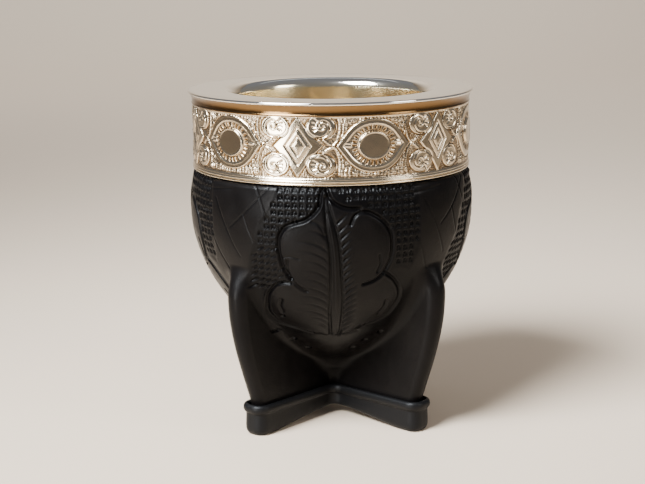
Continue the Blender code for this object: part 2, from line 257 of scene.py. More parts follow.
STAMPED_RIGHT = [(-1.6, -1.5), (0.6, 3.6), (7.5, 4.8), (13.0, 8.2), (17.0, 15.0), (16.6, 23.5),
                 (21.5, 25.0), (24.5, 19.0), (25.0, 8.0), (23.5, -1.5)]
LOBE_FOLDS = [[(-7.6, 9.3), (-5.6, 10.6), (-4.0, 13.4)],
              [(-16.4, 20.3), (-14.0, 19.9), (-11.4, 20.5)]]
LOBE_CUTS = [[(-14.9, 21.1), (-15.0, 23.4), (-14.3, 25.9)],
             [(11.9, 19.6), (12.2, 22.3), (11.2, 25.2)],
             [(14.4, 36.4), (14.0, 39.0), (12.3, 41.5)],
             [(-16.9, 35.4), (-17.4, 38.0), (-16.6, 40.6)]]
FOOT_CUT = [(2.4, 51.2), (5.8, 49.6)]
PUNCHED_DOTS = [(-16.6, 42.6, 0.6), (-18.2, 50.2, 1.0), (-13.2, 54.6, 0.9), (-8.4, 61.0, 0.9),
                (13.6, 51.6, 0.9), (8.8, 55.6, 0.9), (5.0, 61.0, 1.0)]


def soft_union(a, b, blend):
    """Signed distance to two shapes run together with a fillet of about the blend's size."""
    return np.minimum(a, b) - np.maximum(blend - np.abs(a - b), 0.0) ** 2 / (4 * blend)


def arm_gap(across, along, half, reach, corner):
    """Signed distance to a bar from the axis out to its reach, with rounded corners."""
    side = np.abs(across) - (half - corner)
    end = along - (reach - corner)
    return (np.hypot(np.maximum(side, 0.0), np.maximum(end, 0.0))
            + np.minimum(np.maximum(side, end), 0.0) - corner)


def cross_gap(radius, turn, half, reach, corner, blend):
    """Signed distance to the cross of four arms, at a turn from the nearest one."""
    x, y = radius * np.cos(turn), radius * np.sin(turn)
    return soft_union(arm_gap(y, x, half, reach, corner), arm_gap(x, y, half, reach, corner),
                      blend)


def level_outline(gap, steps):
    """Azimuths and radii round one level, closer together where the outline turns fast."""
    halvings, trial_turns, turning_weight = 34, 700, 6.0 * MM

    def radius_at(turn):
        inner, outer = np.zeros_like(turn), np.full_like(turn, 90 * MM)
        for _ in range(halvings):
            middle = (inner + outer) / 2
            within = gap(middle, turn) < 0
            inner, outer = np.where(within, middle, inner), np.where(within, outer, middle)
        return (inner + outer) / 2

    fine = math.pi / 4 * np.linspace(0, 1, trial_turns) ** 1.5
    radius = radius_at(fine)
    x, y = radius * np.cos(fine), radius * np.sin(fine)
    heading = np.unwrap(np.arctan2(np.diff(y), np.diff(x)))
    bends = np.abs(np.diff(heading, prepend=heading[0]))
    travelled = np.concatenate([[0], np.cumsum(np.hypot(np.diff(x), np.diff(y))
                                               + turning_weight * bends)])
    turns = np.interp(np.linspace(0, travelled[-1], steps + 1), travelled, fine)
    radii = radius_at(turns)
    turns = np.concatenate([-turns[:0:-1], turns[:-1]])
    radii = np.concatenate([radii[:0:-1], radii[:-1]])
    arms = np.arange(4) * math.pi / 2 + math.pi / 4
    return (arms[:, None] + turns).ravel(), np.tile(radii, 4)


def fin_reach(height):
    """How far a fin stands out: it leans out up to its widest, then rounds over."""
    if height <= FIN_WIDEST:
        rise = (height - FIN_BOTTOM) / (FIN_WIDEST - FIN_BOTTOM)
        swing = math.sin(math.pi / 2 * rise ** FIN_LEAN)
        return FIN_FOOT_REACH + (FIN_TOP_REACH - FIN_FOOT_REACH) * swing
    rise = min((height - FIN_WIDEST) / (FIN_SHOULDER_TOP - FIN_WIDEST), 1.0)
    return FIN_TOP_REACH - FIN_SHOULDER_DROP * (1 - math.sqrt(1 - rise ** 2))


def cover_level(height, round_radius):
    """Outline of the cover at one height: the round body with its four fins."""
    if height > FIN_SHOULDER_TOP:
        return level_outline(lambda radius, turn: radius - round_radius, COVER_STEPS)
    rise = min((height - FIN_BOTTOM) / (FIN_WIDEST - FIN_BOTTOM), 1.0)
    half = FIN_FOOT_HALF + (FIN_TOP_HALF - FIN_FOOT_HALF) * rise
    blend = min(FIN_BLEND, 0.6 * round_radius)

    def gap(radius, turn):
        fins = cross_gap(radius, turn, half, fin_reach(height), half, blend)
        return soft_union(radius - round_radius, fins, blend)

    return level_outline(gap, COVER_STEPS)


def spaced(profile, step):
    """Points along a profile at about the given step, and how far along it each one is."""
    length = np.concatenate([[0], np.cumsum(np.hypot(*np.diff(profile, axis=0).T))])
    marks = np.linspace(0, length[-1], round(length[-1] / step) + 1)
    return np.stack([np.interp(marks, length, profile[:, i]) for i in (0, 1)], -1), marks


def outline_gap(x, y, outline):
    """Signed distance from points to a closed outline, below zero inside it."""
    gap, inside = np.full(x.shape, FAR_AWAY), np.zeros(x.shape, bool)
    for (ax, ay), (bx, by) in zip(outline, np.roll(outline, -1, axis=0)):
        run, rise = bx - ax, by - ay
        share = np.clip(((x - ax) * run + (y - ay) * rise) / (run * run + rise * rise), 0, 1)
        gap = np.minimum(gap, np.hypot(x - ax - share * run, y - ay - share * rise))
        if rise:
            inside ^= ((ay <= y) != (by <= y)) & (x < ax + (y - ay) / rise * run)
    return np.where(inside, -gap, gap)


def path_gap(x, y, path):
    """Distance from points to an open path."""
    gap = np.full(x.shape, FAR_AWAY)
    for (ax, ay), (bx, by) in zip(path, path[1:]):
        run, rise = bx - ax, by - ay
        share = np.clip(((x - ax) * run + (y - ay) * rise) / (run * run + rise * rise), 0, 1)
        gap = np.minimum(gap, np.hypot(x - ax - share * run, y - ay - share * rise))
    return gap


def lay(relief, gap, level, soft=0.11):
    """Brings the relief to one level wherever the gap is below zero, with a soft edge."""
    share = 0.5 - 0.5 * np.tanh(gap / soft)
    return relief + share * (level - relief)


def score(relief, gap, height, width):
    """Adds a raised line, or a cut one where the height is below zero, along a zero gap."""
    return relief + height * np.exp(-(gap / width) ** 2)


def stamped_rows(relief, x, y, area, rng):
    """Small arched stamps in rows inside an area, and slanted ones lower down beside the leaf."""
    low, high = np.min(area, axis=0), np.max(area, axis=0)
    arch = np.array([(-0.42, 0.5), (-0.44, -0.3), (0.0, -0.52), (0.44, -0.3), (0.42, 0.5)])
    dash = np.array([(-0.62, 0.34), (0.62, -0.34)])
    for down in np.arange(low[1], high[1], STAMP_PITCH):
        for across in np.arange(low[0], high[0], STAMP_PITCH):
            middle = np.array([across, down]) + rng.uniform(-0.1, 0.1, 2)
            if outline_gap(*middle[:, None], area)[0] > -0.4:
                continue
            near = np.maximum(np.abs(x - middle[0]), np.abs(y - middle[1])) < STAMP_REACH
            shape, width = (dash, 0.34) if down > 17 and across < 0 else (arch, 0.24)
            gap = path_gap(x[near], y[near], middle + shape * rng.uniform(0.9, 1.1))
            depth = STAMP_DEPTH * rng.uniform(0.8, 1.15)
            relief[near] -= depth * np.exp(-(gap / width) ** 2)
    return relief


def leaf_stem(relief, x, y, left, right):
    """The stem between its two cut edges, with two ribs along it."""
    for path in (left, right):
        relief = score(relief, path_gap(x, y, path), -0.64, 0.44)
    for share in (0.33, 0.66):
        rib = [(np.interp(down, left[:, 1], left[:, 0]) * (1 - share)
                + np.interp(down, right[:, 1], right[:, 0]) * share, down)
               for down in np.linspace(7, 50, 14)]
        relief = score(relief, path_gap(x, y, rib), -0.26, 0.26)
    return relief


def leaf_veins(relief, x, y, left, right, rng):
    """Short barbs cut up and out from the stem's right edge, and long faint veins from its left."""
    for root in np.arange(10.5, 50, 2.25):
        edge = np.interp(root, right[:, 1], right[:, 0])
        reach = rng.uniform(3.2, 4.2)
        barb = smooth_curve([(edge, root), (edge + 0.4 * reach, root - 0.35 * reach),
                             (edge + reach, root - 0.95 * reach)], 4)
        fade = (np.clip((edge + reach + 0.4 - x) / 2.5, 0, 1)
                * np.clip((x - edge - 0.2) / 0.8, 0, 1))
        gap = path_gap(x, y, barb)
        relief = score(relief, gap, -0.46 * fade, 0.38)
        relief = score(relief, gap - 0.8, 0.10 * fade, 0.3)
    for root in np.arange(13.0, 50, 3.0):
        edge = np.interp(root, left[:, 1], left[:, 0])
        reach = rng.uniform(7.5, 10.5) if 16 < root < 46 else 5.5
        vein = smooth_curve([(edge, root), (edge - 0.25 * reach, root - 2.2),
                             (edge - 0.6 * reach, root - 3.6), (edge - reach, root - 3.9)], 4)
        fade = (np.clip((x - edge + reach + 1) / (0.8 * reach), 0, 1)
                * np.clip((edge - 0.2 - x) / 1.2, 0, 1))
        relief = score(relief, path_gap(x, y, vein), -0.20 * fade, 0.36)
    return relief


def tooled_leaf(x, y, rng):
    """Depth of the tooling on one panel in mm: the leaf, its veins, and the stamped ground."""
    left, right = smooth_curve(LEAF_LEFT, 4), smooth_curve(LEAF_RIGHT, 4)
    lower_left = smooth_curve(LEAF_LOWER_LEFT, 4)
    lower_right = smooth_curve(LEAF_LOWER_RIGHT, 4)
    upper_right = smooth_curve(LEAF_UPPER_RIGHT, 4)
    leaf = np.vstack([left, lower_left, [(-3.0, 52.0), (2.0, 52.0), (6.0, 48.5)],
                      lower_right[::-1], upper_right[-12:8:-1], right[::-1]])
    inside = outline_gap(x, y, leaf)
    relief = -0.34 * np.exp(-(np.maximum(inside, 0) / 3.2) ** 2)
    relief = np.where(inside < 0, -0.34 * np.exp(inside / 1.1), relief)
    for area in (STAMPED_LEFT, STAMPED_RIGHT):
        relief = lay(relief, outline_gap(x, y, area), -0.20, 0.5)
        relief = stamped_rows(relief, x, y, area, rng)
    for path, depth, width in ((left, 0.78, 0.54), (right, 0.75, 0.50), (upper_right, 0.68, 0.46),
                               (lower_left, 0.60, 0.46), (lower_right, 0.54, 0.44),
                               (smooth_curve(LEAF_LEFT_CURL, 4), 0.48, 0.40)):
        gap = path_gap(x, y, path)
        relief = score(relief, gap, -depth, width)
        relief = score(relief, gap - 0.95, 0.12, 0.32)
    for path in LOBE_FOLDS:
        relief = score(relief, path_gap(x, y, smooth_curve(path, 4)), -0.24, 0.3)
    for path in LOBE_CUTS:
        relief = score(relief, path_gap(x, y, smooth_curve(path, 4)), -0.45, 0.42)
    stem_left, stem_right = smooth_curve(STEM_LEFT, 4), smooth_curve(STEM_RIGHT, 4)
    relief = leaf_stem(relief, x, y, stem_left, stem_right)
    relief = leaf_veins(relief, x, y, stem_left, stem_right, rng)
    for across, down, size in PUNCHED_DOTS:
        dot = np.hypot((x - across) * 0.8, y - down) - 0.7 * size
        relief = lay(relief, dot, -0.75, 0.22)
    return score(relief, path_gap(x, y, FOOT_CUT), -0.4, 0.6)


def creased(relief, x, y):
    """Adds the fine creases where the wet hide was pulled down to the fins."""
    for crease in HIDE_CREASES:
        relief = score(relief, path_gap(x, y, smooth_curve(crease, 4)), -0.16, 0.22)
    return relief


def cover_leather():
    finish, tree, shader = new_finish("black_cover_leather", 0.0, 0.42)
    shader.inputs["Specular IOR Level"].default_value = 0.085
    depth = add_node(tree, "ShaderNodeAttribute", attribute_name="tooling").outputs["Fac"]
    tone = add_node(tree, "ShaderNodeMath",
                    {0: noise_on(tree, 70, 4), 1: range_on(tree, depth, -0.8, 0.0, -0.35, 0.0)},
                    operation="ADD").outputs["Value"]
    tree.links.new(ramp_on(tree, tone, [(0.15, COVER_BLACK), (0.75, COVER_WORN)]),
                   shader.inputs["Base Color"])
    tree.links.new(range_on(tree, noise_on(tree, 240, 4), 0.28, 0.44, 0.25, 0.75),
                   shader.inputs["Roughness"])
    grain = bump_on(tree, noise_on(tree, 1900, 3), 0.06 * MM, 0.6)
    wrinkles = bump_on(tree, noise_on(tree, 420, 5), 0.16 * MM, 0.35, grain)
    tree.links.new(wrinkles, shader.inputs["Normal"])
    return finish


side_profile, down = spaced(np.vstack([COVER_TUCK[:1], smooth_curve(COVER_PROFILE, 24)]), COVER_ROW)
side_profile, down = side_profile[::-1], down[::-1] / MM
levels = [cover_level(height, radius) for radius, height in side_profile]
azimuths, radii = (np.array(part) for part in zip(*levels))
heights = np.repeat(side_profile[:, 1:], azimuths.shape[1], axis=1)
skin = np.stack([radii * np.sin(azimuths), -radii * np.cos(azimuths), heights], -1)

panels = np.round(azimuths / (math.pi / 2))
across = (azimuths - panels * math.pi / 2) * side_profile[:, :1] / MM
below = np.repeat(down[:, None], across.shape[1], axis=1)
tooling = np.zeros(across.shape)
for panel in range(4):
    rng = np.random.default_rng(40 + panel)
    mine = panels % 4 == panel
    tooled = creased(tooled_leaf(across[mine], below[mine], rng), across[mine], below[mine])
    from_next = across[mine] - math.pi / 2 * radii[mine] / MM
    tooling[mine] = creased(tooled, np.where(across[mine] > 0, from_next, FAR_AWAY), below[mine])
proud = (radii - side_profile[:, :1]) / MM
tooling *= 1 - np.clip((proud - FADE_START) / FADE_LENGTH, 0, 1)
tooling = np.minimum(tooling - 0.02, 0.0)

level_way = np.roll(skin, -1, axis=1) - np.roll(skin, 1, axis=1)
up_way = np.gradient(skin, axis=0)
normals = np.cross(level_way, up_way)
normals /= np.linalg.norm(normals, axis=-1, keepdims=True)
skin += normals * tooling[..., None] * MM

hem_azimuths = azimuths[-1]
lining = COVER_LINING + [(40.5 * math.cos(turn), 67 - 43.0 * math.sin(turn))
                         for turn in np.radians(np.linspace(10, 89, 10))]
hem = np.vstack([COVER_TUCK[1:], np.array(lining) * MM])
hem_rings = np.stack([hem[:, :1] * np.sin(hem_azimuths), -hem[:, :1] * np.cos(hem_azimuths),
                      np.repeat(hem[:, 1:], len(hem_azimuths), axis=1)], -1)
cover = skin_rings("leather_cover", np.vstack([skin, hem_rings]), sharp=80)
record_on(cover, "tooling", tooling)
place_piece(cover, cover_leather(), "leather_body")


# Sole
# One cross-shaped strip of thick black leather, glued and pressed round the bottoms of the fins,
# with a raised lip along its upper edge and arched so that it stands on its four ends.

SOLE_REACH, SOLE_HALF, SOLE_CORNER, SOLE_BLEND = 36.5 * MM, 4.1 * MM, 3.3 * MM, 3.6 * MM
POCKET_FLOOR = 7.0 * MM
SOLE_SIDE = np.array([(0.0, -1.8), (0.12, -1.05), (0.6, -0.42), (1.4, -0.08), (2.6, 0.0),
                      (6.2, -0.1), (6.75, 0.05), (7.2, 0.42), (7.9, 0.68), (8.7, 0.62), (9.25, 0.3),
                      (9.5, -0.1), (9.42, -0.5), (9.0, -0.78), (8.2, -0.85)]) * MM
ARCH_RISE, ARCH_RADIUS, ARCH_FADE = 2.8 * MM, 30.5 * MM, 6.0 * MM
SOLE_STEPS = 60
SOLE_BLACK = (0.0028, 0.0028, 0.0031)


def arch_height(radius):
    """How far the bottom of the sole is off the table at a distance from the axis."""
    return ARCH_RISE * (1 - np.clip(radius / ARCH_RADIUS, 0, 1) ** 2) ** 1.5


def sole_ring(height, offset):
    """One level of the sole, its bottom lifted by the arch under the middle."""
    def gap(radius, turn):
        return cross_gap(radius, turn, SOLE_HALF, SOLE_REACH, SOLE_CORNER, SOLE_BLEND) - offset

    azimuth, radius = level_outline(gap, SOLE_STEPS)
    lift = arch_height(radius) * np.clip(1 - height / ARCH_FADE, 0, 1)
    return np.stack([radius * np.sin(azimuth), -radius * np.cos(azimuth), height + lift], -1)


def sole_finish():
    finish, tree, shader = new_finish("black_sole_leather", 0.0, 0.45)
    shader.inputs["Base Color"].default_value = (*SOLE_BLACK, 1)
    shader.inputs["Specular IOR Level"].default_value = 0.13
    tree.links.new(bump_on(tree, noise_on(tree, 1500, 3), 0.1 * MM, 0.5), shader.inputs["Normal"])
    return finish


sole_profile = smooth_curve(SOLE_SIDE, 4)
sole_rings = np.array([sole_ring(height, offset) for height, offset in sole_profile])
inward = np.array([0.75, 0.5, 0.25, 0.06])[:, None, None]
under = sole_rings[0] * [1, 1, 0] * inward
under[..., 2] = arch_height(np.hypot(under[..., 0], under[..., 1]))
pocket_foot = sole_rings[-1] * [1, 1, 0] + [0, 0, POCKET_FLOOR]
pocket_floor = pocket_foot * [1, 1, 0] * inward + [0, 0, POCKET_FLOOR]
sole = skin_rings("sole", np.concatenate([under[::-1], sole_rings, pocket_foot[None],
                                          pocket_floor]), sharp=50)
place_piece(sole, sole_finish(), "sole_strip")


# Collar band
# Warm silver alloy, rolled to a ring with a polished cove on top and a double bead at its foot.
# Ovals in pointed frames, stars with lozenges and scrolled roundels are chased into its face by
# hand, on a ground sunk and stippled with a round punch.

BAND_RADIUS, BAND_INSIDE = 41.8 * MM, 41.0 * MM
FACE_BOTTOM, FACE_TOP, MOTIF_HEIGHT = 79.4 * MM, 97.0 * MM, 88.8 * MM
MOTIF_COUNT, MOTIF_COLUMNS, FACE_ROWS = 6, 256, 136
OVAL_AZIMUTH = math.radians(14.2)
BAND_METAL, BAND_PATINA = (0.70, 0.59, 0.43), (0.19, 0.11, 0.045)
GROUND_DEPTH, PUNCH_DEPTH, PUNCH_SPACING = 0.26, 0.13, 0.62
# The cove is painted most of the way to the patina brown, as a painted reflection of a brown table
# below it.
COVE_REFLECTION_PAINT = 0.85
FRAME_SIDE = [(10.9, 0.0), (9.6, 1.5), (8.2, 3.3), (6.6, 5.1), (4.4, 6.6), (2.2, 7.3), (0.0, 7.5)]
FRAME_BAND = 1.45
OVAL_HALF_ACROSS, OVAL_HALF_UP = 4.7, 4.0
STAR_HALF_ACROSS, STAR_UP, STAR_DOWN, STAR_PINCH = 7.2, 8.5, 9.0, 2.25
LOZENGE_HALF_ACROSS, LOZENGE_HALF_UP = 3.7, 5.2
ROUNDEL_AWAY, ROUNDEL_UP, ROUNDEL_HALF_ACROSS, ROUNDEL_HALF_UP = 6.6, 5.35, 4.15, 3.25


def oval_points(half_across, half_up, count=48):
    turn = np.arange(count) * 2 * math.pi / count
    return np.stack([half_across * np.cos(turn), half_up * np.sin(turn)], -1)


def mirrored_outline(quarter):
    """A closed outline from a quarter that runs from its tip on +X to its top on +Y."""
    quarter = np.array(quarter)
    half = np.vstack([quarter, (quarter * [-1, 1])[-2::-1]])
    return np.vstack([half, (half * [1, -1])[-2:0:-1]])


def punched(x, y, spacing, seed, wrap):
    """Depths from 0 to 1 of a ground struck all over with a round punch, a little unevenly."""
    rng = np.random.default_rng(seed)
    columns = round(wrap / spacing)
    step = wrap / columns
    rows = int(np.ptp(y) / spacing) + 4
    jitter = rng.uniform(-0.32, 0.32, (rows, columns, 2))
    force = rng.uniform(0.55, 1.0, (rows, columns))
    row0, column0 = np.floor((y - y.min()) / spacing).astype(int) + 1, np.floor(x / step).astype(int)
    depth = np.zeros(x.shape)
    for down in (-1, 0, 1):
        for over in (-1, 0, 1):
            row, column = row0 + down, column0 + over
            shift = jitter[row, column % columns]
            gap = np.hypot(x / step - column - 0.5 - shift[..., 0],
                           (y - y.min()) / spacing - row + 0.5 - shift[..., 1])
            depth = np.maximum(depth, force[row, column % columns] * np.exp(-(gap / 0.34) ** 2))
    return depth


def strokes(relief, x, y, starts, ends, height, width):
    """Raises short strokes of the liner punch, each with its own start and end."""
    for start, end in zip(starts, ends):
        relief = score(relief, path_gap(x, y, [start, end]), height, width)
    return relief


def chased_oval(relief, x, y, rng):
    """A pointed frame round a ring of punched dimples and a raised polished oval."""
    frame_edge = mirrored_outline(smooth_curve(FRAME_SIDE, 3))
    gap = outline_gap(x, y, frame_edge)
    relief = lay(relief, gap, 0.0)
    relief = lay(relief, gap + FRAME_BAND, -0.8 * GROUND_DEPTH)
    relief = score(relief, gap + 0.12, 0.05, 0.16)
    relief = score(relief, gap + FRAME_BAND - 0.1, 0.05, 0.16)
    relief = score(relief, gap - 0.28, -0.14, 0.18)

    starts, ends = [], []
    for turn in np.linspace(0, 2 * math.pi, 44, endpoint=False) + rng.uniform(-0.03, 0.03, 44):
        way = np.array([math.cos(turn), math.sin(turn)])
        start, length = way * (6.75, 5.65), rng.uniform(1.0, 1.5)
        end = start + way * (1.1, 1.0) * length + rng.uniform(-0.15, 0.15, 2)
        if outline_gap(*np.array([end]).T, frame_edge)[0] < -FRAME_BAND - 0.15:
            starts.append(start)
            ends.append(end)
    relief = strokes(relief, x, y, starts, ends, 0.20, 0.25)
    turns = np.linspace(0, 2 * math.pi, 26, endpoint=False) + rng.uniform(-0.04, 0.04, 26)
    ways = np.stack([np.cos(turns), np.sin(turns)], -1)
    relief = strokes(relief, x, y, ways * (5.45, 4.75), ways * (6.15, 5.4), -0.34, 0.27)
    oval = outline_gap(x, y, oval_points(OVAL_HALF_ACROSS, OVAL_HALF_UP))
    relief = score(relief, oval - 0.25, -0.14, 0.2)
    relief = lay(relief, oval, 0.26, 0.10)
    return score(relief, oval + 0.22, 0.12, 0.17)


def chased_star(relief, x, y):
    """A smooth four-pointed star with two lozenges of double lines cut into it."""
    turn = np.linspace(0, math.pi / 2, 17)
    outline = []
    for side, height, angles in ((1, STAR_UP, turn), (-1, STAR_UP, turn[::-1]),
                                 (-1, -STAR_DOWN, turn), (1, -STAR_DOWN, turn[::-1])):
        outline += [(side * STAR_HALF_ACROSS * math.cos(a) ** STAR_PINCH,
                     height * math.sin(a) ** STAR_PINCH) for a in angles[:-1]]
    star = outline_gap(x, y, np.array(outline))
    relief = lay(relief, star, 0.02)
    relief = score(relief, star + 0.1, 0.05, 0.15)
    relief = score(relief, star - 0.25, -0.14, 0.18)
    lean = np.hypot(1 / LOZENGE_HALF_ACROSS, 1 / LOZENGE_HALF_UP)
    lozenge = (np.abs(x) / LOZENGE_HALF_ACROSS + np.abs(y) / LOZENGE_HALF_UP - 1) / lean
    for inset, depth in ((0.0, -0.36), (0.48, -0.10), (1.45, -0.36), (1.92, -0.10)):
        relief = score(relief, lozenge + inset, depth, 0.18)
    return relief


def chased_roundel(relief, away, edge, rng):
    """A flat ribbon curled up into a roundel beside the star, with a fan of short cuts in it.

    away is measured from the star, edge towards the nearer border of the face."""
    across, up = away - ROUNDEL_AWAY, edge - ROUNDEL_UP
    rim = outline_gap(across, up, oval_points(ROUNDEL_HALF_ACROSS, ROUNDEL_HALF_UP))
    relief = lay(relief, rim, 0.0)
    relief = score(relief, rim - 0.12, -0.22, 0.18)
    relief = score(relief, rim + 0.42, -0.10, 0.15)
    turn = np.radians(np.linspace(240, 720, 48))
    size = 3.4 * np.exp(-0.235 * (turn - turn[0]))
    eye = np.array([0.45, 0.25])
    scroll = eye + np.stack([size * np.cos(turn), size * np.sin(turn)], -1)
    within = 0.5 - 0.5 * np.tanh((rim + 0.3) / 0.15)
    curl = path_gap(across, up, scroll)
    relief = relief + within * (0.08 * np.exp(-((curl - 0.36) / 0.18) ** 2)
                                - 0.30 * np.exp(-(curl / 0.20) ** 2))
    starts, ends = [], []
    for angle in (138, 162, 186, 210):
        way = np.array([math.cos(math.radians(angle)), math.sin(math.radians(angle))])
        starts.append(way * 1.75 + eye)
        ends.append(way * rng.uniform(2.6, 3.0) + eye)
    return strokes(relief, across, up, starts, ends, -0.25, 0.19)


def chased_borders(relief, x, y, rng):
    """Brackets beside the pointed frames and fringes of short strokes along both borders."""
    bracket = smooth_curve([(10.1, 7.9), (9.75, 5.6), (9.95, 3.6), (10.6, 1.5), (11.6, 0.1)], 5)
    sprig = smooth_curve([(11.7, 0.35), (13.0, 0.75), (14.3, 1.9)], 4)
    for side in (-1, 1):
        for half in (-1, 1):
            gap = path_gap(x, y, bracket * [side, half])
            relief = score(relief, gap, 0.24, 0.26)
            relief = score(relief, gap - 0.5, -0.08, 0.18)
            relief = score(relief, path_gap(x, y, sprig * [side, half]), 0.22, 0.26)
    starts, ends = [], []
    for across in np.arange(-9.3, 9.4, 1.05):
        across += rng.uniform(-0.15, 0.15)
        room = 0.5 + 0.09 * abs(across) ** 1.35
        starts += [(across, 8.1), (across, -8.2)]
        ends += [(across + rng.uniform(-0.1, 0.1), 8.1 - min(1.7, room) * rng.uniform(0.8, 1)),
                 (across + rng.uniform(-0.1, 0.1), -8.2 + min(1.5, room) * rng.uniform(0.8, 1))]
    for across, up in ((6.9, 6.1), (7.9, 5.7), (8.8, 5.3), (7.9, 4.4), (8.9, 3.9), (9.1, 2.6),
                       (5.6, 6.9), (9.3, 6.9), (8.3, 7.0)):
        for side in (-1, 1):
            for half in (-1, 1):
                foot = np.array([side * across, half * up]) + rng.uniform(-0.15, 0.15, 2)
                starts.append(foot)
                ends.append(foot + rng.uniform(-0.15, 0.15, 2) + [0, half * 0.75])
    return strokes(relief, x, y, starts, ends, 0.22, 0.21)


def chased_face(azimuth, height):
    """Height of the chased face over the plain band in mm, for a grid once round the band."""
    around = BAND_RADIUS / MM * azimuth
    wrap = BAND_RADIUS / MM * 2 * math.pi
    up = (height - MOTIF_HEIGHT) / MM
    ground = -GROUND_DEPTH - PUNCH_DEPTH * punched(around, up, PUNCH_SPACING, 7, wrap)
    cell = wrap / MOTIF_COUNT
    faces = []
    for number in range(MOTIF_COUNT):
        rng = np.random.default_rng(20 + number)
        columns = slice(number * MOTIF_COLUMNS, (number + 1) * MOTIF_COLUMNS)
        x, y = around[:, columns] - (number + 0.5) * cell, up[:, columns]
        relief = chased_borders(ground[:, columns], x, y, rng)
        star_x = cell / 2 - np.abs(x)
        relief = chased_star(relief, star_x, y)
        for half in (-1, 1):
            for side in (-1, 1):
                near = (np.sign(x) == side) & (np.sign(y) == half)
                relief = np.where(near, chased_roundel(relief, star_x, half * y, rng), relief)
        faces.append(chased_oval(relief, x, y, rng))
    relief = np.concatenate(faces, axis=1)
    border = np.minimum(height - FACE_BOTTOM, FACE_TOP - height) / MM
    return lay(relief, border - 0.25, 0.0, 0.15)


def chased_silver():
    finish, tree, shader = new_finish("chased_silver", 1.0, 0.2)
    worn = add_node(tree, "ShaderNodeAttribute", attribute_name="relief").outputs["Fac"]
    # This number paints a brown reflection into the cove: painted reflection, not the metal's own
    # colour.
    cove_reflection_paint = add_node(tree, "ShaderNodeAttribute", attribute_name="cove_reflection_paint").outputs["Fac"]
    dull = range_on(tree, worn, 1.0, 0.0, -0.42, -0.12)
    patches = range_on(tree, noise_on(tree, 500, 4), 0.55, 1.0, 0.3, 0.7)
    # The colour mixes real patina in the hollows with the cove's painted reflection.
    patina_and_cove_reflection = add_node(tree, "ShaderNodeMath", {0: dull, 1: patches, 2: cove_reflection_paint},
                     operation="MULTIPLY_ADD").outputs["Value"]
    tree.links.new(ramp_on(tree, patina_and_cove_reflection, [(0.0, BAND_METAL), (0.68, BAND_PATINA)]),
                   shader.inputs["Base Color"])
    tree.links.new(range_on(tree, dull, 0.14, 0.36), shader.inputs["Roughness"])
    hammered = bump_on(tree, noise_on(tree, 160, 2), 0.25 * MM, 0.35)
    tree.links.new(bump_on(tree, noise_on(tree, 4200, 3), 0.02 * MM, 0.6, hammered),
                   shader.inputs["Normal"])
    return finish


face_height = np.linspace(FACE_BOTTOM, FACE_TOP, FACE_ROWS)
columns = MOTIF_COUNT * MOTIF_COLUMNS
around = (np.arange(columns) + 0.5) * 2 * math.pi / columns
face_azimuth, face_heights = np.meshgrid(around, face_height)
relief = chased_face(face_azimuth, face_heights)
foot = np.array([(41.0, 77.6), (41.5, 77.6), (41.8, 77.66), (41.96, 77.82), (42.0, 78.0),
                 (41.92, 78.18), (41.7, 78.3), (41.62, 78.36), (41.7, 78.42), (41.92, 78.52),
                 (42.03, 78.7), (42.0, 78.88), (41.88, 79.0), (41.76, 79.1), (41.78, 79.25)]) * MM
cove = smooth_curve(np.array([(41.8, 97.06), (41.93, 97.15), (41.98, 97.32), (41.93, 97.5),
                              (41.84, 97.72), (41.9, 98.6), (42.12, 99.35), (42.4, 99.85),
                              (42.6, 100.1)]) * MM, 3)
inside_heights = np.array([100.1, 92.0, 85.0]) * MM
azimuth = around + (OVAL_AZIMUTH - math.pi / MOTIF_COUNT)


def band_ring(radius, height):
    """One level of the band, turned so that an oval stands where it does in front."""
    return np.stack([radius * np.sin(azimuth), -radius * np.cos(azimuth), height + 0 * azimuth], -1)


def plain(part, value=0.0):
    """The same number for every point of a plain part of the band."""
    return np.full((len(part), columns), value)


rings = [band_ring(radius, height) for radius, height in foot]
rings += [band_ring(BAND_RADIUS + row * MM, height) for row, height in zip(relief, face_height)]
rings += [band_ring(radius, height) for radius, height in cove]
rings += [band_ring(BAND_INSIDE, height) for height in inside_heights]
band = skin_rings("chased_band", np.array(rings), closed_loop=True, sharp=70)
record_on(band, "relief",
          np.vstack([plain(foot), relief, plain(cove), plain(inside_heights)]))
# Only the cove is marked, for its painted brown reflection.
record_on(band, "cove_reflection_paint", np.vstack([plain(foot), plain(relief), plain(cove, COVE_REFLECTION_PAINT),
                                      plain(inside_heights)]))
place_piece(band, chased_silver(), "collar_band")


# Rim plate
# Flat silver alloy plate, polished bright, with a rounded outer edge. It is rolled down at the
# mouth into a sleeve that holds the gourd's neck, and soldered on top of the band.

RIM_RADIUS, MOUTH_RADIUS, PLATE_SHEET, SLEEVE_WALL = 42.99 * MM, 29.4 * MM, 0.9 * MM, 0.7 * MM
MOUTH_ROLL, PLATE_COLUMNS = 3.2 * MM, 360
SLEEVE_BOTTOM, SLEEVE_BOTTOM_RADIUS = 86.0 * MM, 28.6 * MM
# The sleeve's golden colour is a painted reflection of the gourd's brown inside.
RIM_METAL, SLEEVE_PAINTED_REFLECTION = (0.88, 0.85, 0.79), (0.84, 0.71, 0.47)


def rounded(radius, height, size, start, end, steps):
    """Points of a round edge, from the start angle to the end in degrees."""
    turn = np.radians(np.linspace(start, end, steps + 1))
    return np.stack([radius + size * np.cos(turn), height + size * np.sin(turn)], -1)


def polished_silver():
    """Bright on the plate; down the sleeve a painted golden reflection, and a little duller."""
    finish, tree, shader = new_finish("polished_silver", 1.0, 0.09)
    depth = add_node(tree, "ShaderNodeAttribute", attribute_name="sleeve").outputs["Fac"]
    # Down the sleeve the colour turns to the painted golden reflection.
    tree.links.new(ramp_on(tree, depth, [(0.3, RIM_METAL), (1.0, SLEEVE_PAINTED_REFLECTION)]),
                   shader.inputs["Base Color"])
    tree.links.new(range_on(tree, depth, 0.08, 0.17), shader.inputs["Roughness"])
    return finish


